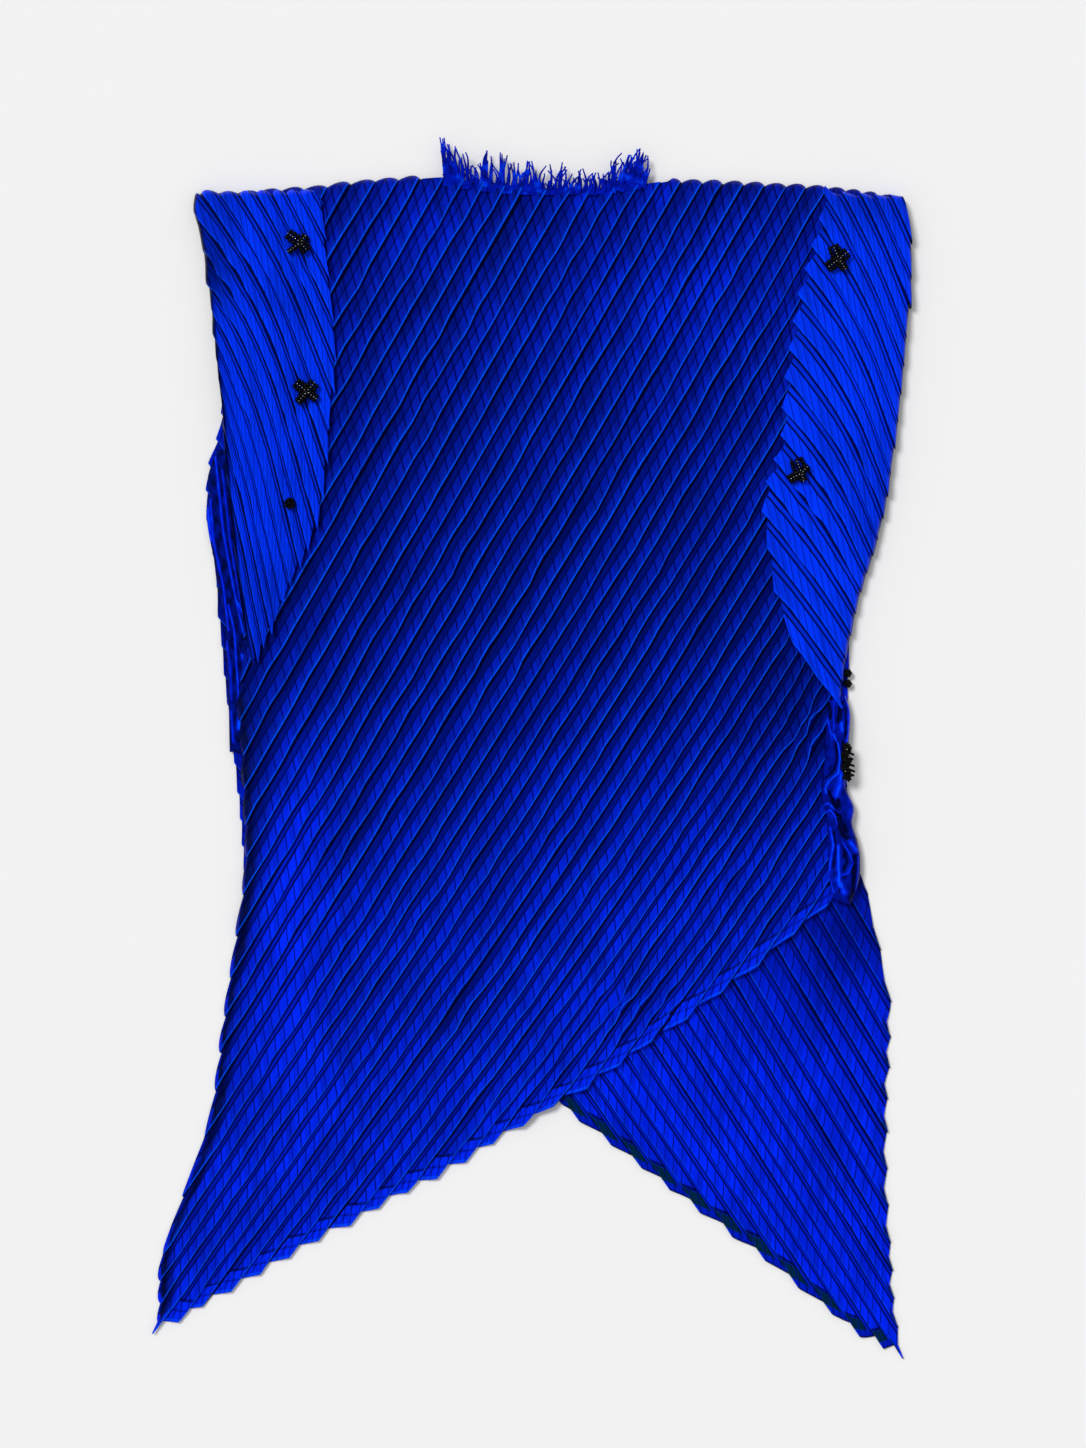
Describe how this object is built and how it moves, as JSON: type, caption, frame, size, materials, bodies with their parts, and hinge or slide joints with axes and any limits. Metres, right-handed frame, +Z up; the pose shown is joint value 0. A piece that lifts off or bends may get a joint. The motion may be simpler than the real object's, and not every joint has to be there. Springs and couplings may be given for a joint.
{
  "type": "pleated top",
  "caption": "Pleated cloth top laid flat: diagonal knife pleats, short wide sleeves folded in over the front, pointed side tails, frayed neck and beaded crosses.",
  "frame": {"origin": "on the surface the top lies on, at the middle of its outline", "axes": "+Z up from the surface, +Y to the neck, +X to the right as seen from above"},
  "size_m": [0.4916, 0.7957, 0.0152],
  "materials": {
    "pleated_cloth": "satin cobalt blue knife-pleated cloth",
    "frayed_thread": "loose frayed threads of the same cloth",
    "black_bead": "glossy black cut beads"
  },
  "bodies": {
    "root": {"back_panel": "pleated_cloth", "front_panel": "pleated_cloth", "left_sleeve": "pleated_cloth", "right_sleeve": "pleated_cloth", "right_side_tuck": "pleated_cloth", "neck_fringe": "frayed_thread", "bead_cross_left_top": "black_bead", "bead_cross_left_mid": "black_bead", "bead_left_low": "black_bead", "bead_cross_right_top": "black_bead", "bead_cross_right_mid": "black_bead", "bead_right_side_upper": "black_bead", "bead_right_side_lower": "black_bead"}
  },
  "joints": []
}
